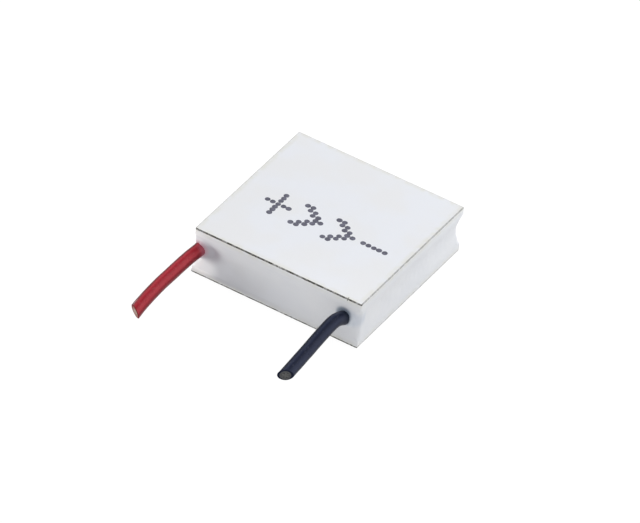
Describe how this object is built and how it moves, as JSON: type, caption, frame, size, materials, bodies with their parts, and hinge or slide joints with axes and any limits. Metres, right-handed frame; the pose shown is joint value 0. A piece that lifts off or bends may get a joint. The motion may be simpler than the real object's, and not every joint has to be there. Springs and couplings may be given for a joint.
{
  "type": "thermoelectric cooling module",
  "caption": "Square thermoelectric cooling module: two white ceramic plates, a hollow-faced white edge seal, and a short red and a short black lead from one side.",
  "frame": {"origin": "centre of the hot plate's outer face", "axes": "+Z from the hot plate to the cold plate, -Y the way the leads leave, +X from the red lead to the black lead"},
  "size_m": [0.0153, 0.0239, 0.0043],
  "materials": {
    "alumina": "fired white alumina ceramic, matte",
    "sealant": "white silicone, satin",
    "copper": "bare copper",
    "n_pellet": "sawn bismuth telluride, N type",
    "p_pellet": "sawn bismuth telluride, P type",
    "solder": "reflowed solder",
    "tinned_copper": "tinned copper strands",
    "red_insulation": "glossy red wire insulation",
    "black_insulation": "glossy blue-black wire insulation",
    "marking_ink": "dark grey printed dots"
  },
  "bodies": {
    "root": {"hot_plate": "alumina", "cold_plate": "alumina", "edge_seal": "sealant", "lower_tabs_1": "copper", "lower_tabs_2": "copper", "lower_tabs_3": "copper", "lower_tabs_4": "copper", "lower_tabs_5": "copper", "lower_tabs_6": "copper", "lower_tabs_7": "copper", "lower_tabs_8": "copper", "upper_tabs_1": "copper", "upper_tabs_2": "copper", "upper_tabs_3": "copper", "upper_tabs_4": "copper", "upper_tabs_5": "copper", "upper_tabs_6": "copper", "upper_tabs_7": "copper", "upper_tabs_8": "copper", "front_bridges": "copper", "rear_bridges": "copper", "n_pellets_1": "n_pellet", "n_pellets_2": "n_pellet", "n_pellets_3": "n_pellet", "n_pellets_4": "n_pellet", "n_pellets_5": "n_pellet", "n_pellets_6": "n_pellet", "n_pellets_7": "n_pellet", "n_pellets_8": "n_pellet", "p_pellets_1": "p_pellet", "p_pellets_2": "p_pellet", "p_pellets_3": "p_pellet", "p_pellets_4": "p_pellet", "p_pellets_5": "p_pellet", "p_pellets_6": "p_pellet", "p_pellets_7": "p_pellet", "p_pellets_8": "p_pellet", "lower_solder_1": "solder", "lower_solder_2": "solder", "lower_solder_3": "solder", "lower_solder_4": "solder", "lower_solder_5": "solder", "lower_solder_6": "solder", "lower_solder_7": "solder", "lower_solder_8": "solder", "upper_solder_1": "solder", "upper_solder_2": "solder", "upper_solder_3": "solder", "upper_solder_4": "solder", "upper_solder_5": "solder", "upper_solder_6": "solder", "upper_solder_7": "solder", "upper_solder_8": "solder", "red_lead_jacket": "red_insulation", "red_lead_core": "tinned_copper", "red_lead_joint": "solder", "black_lead_jacket": "black_insulation", "black_lead_core": "tinned_copper", "black_lead_joint": "solder"}
  },
  "joints": []
}
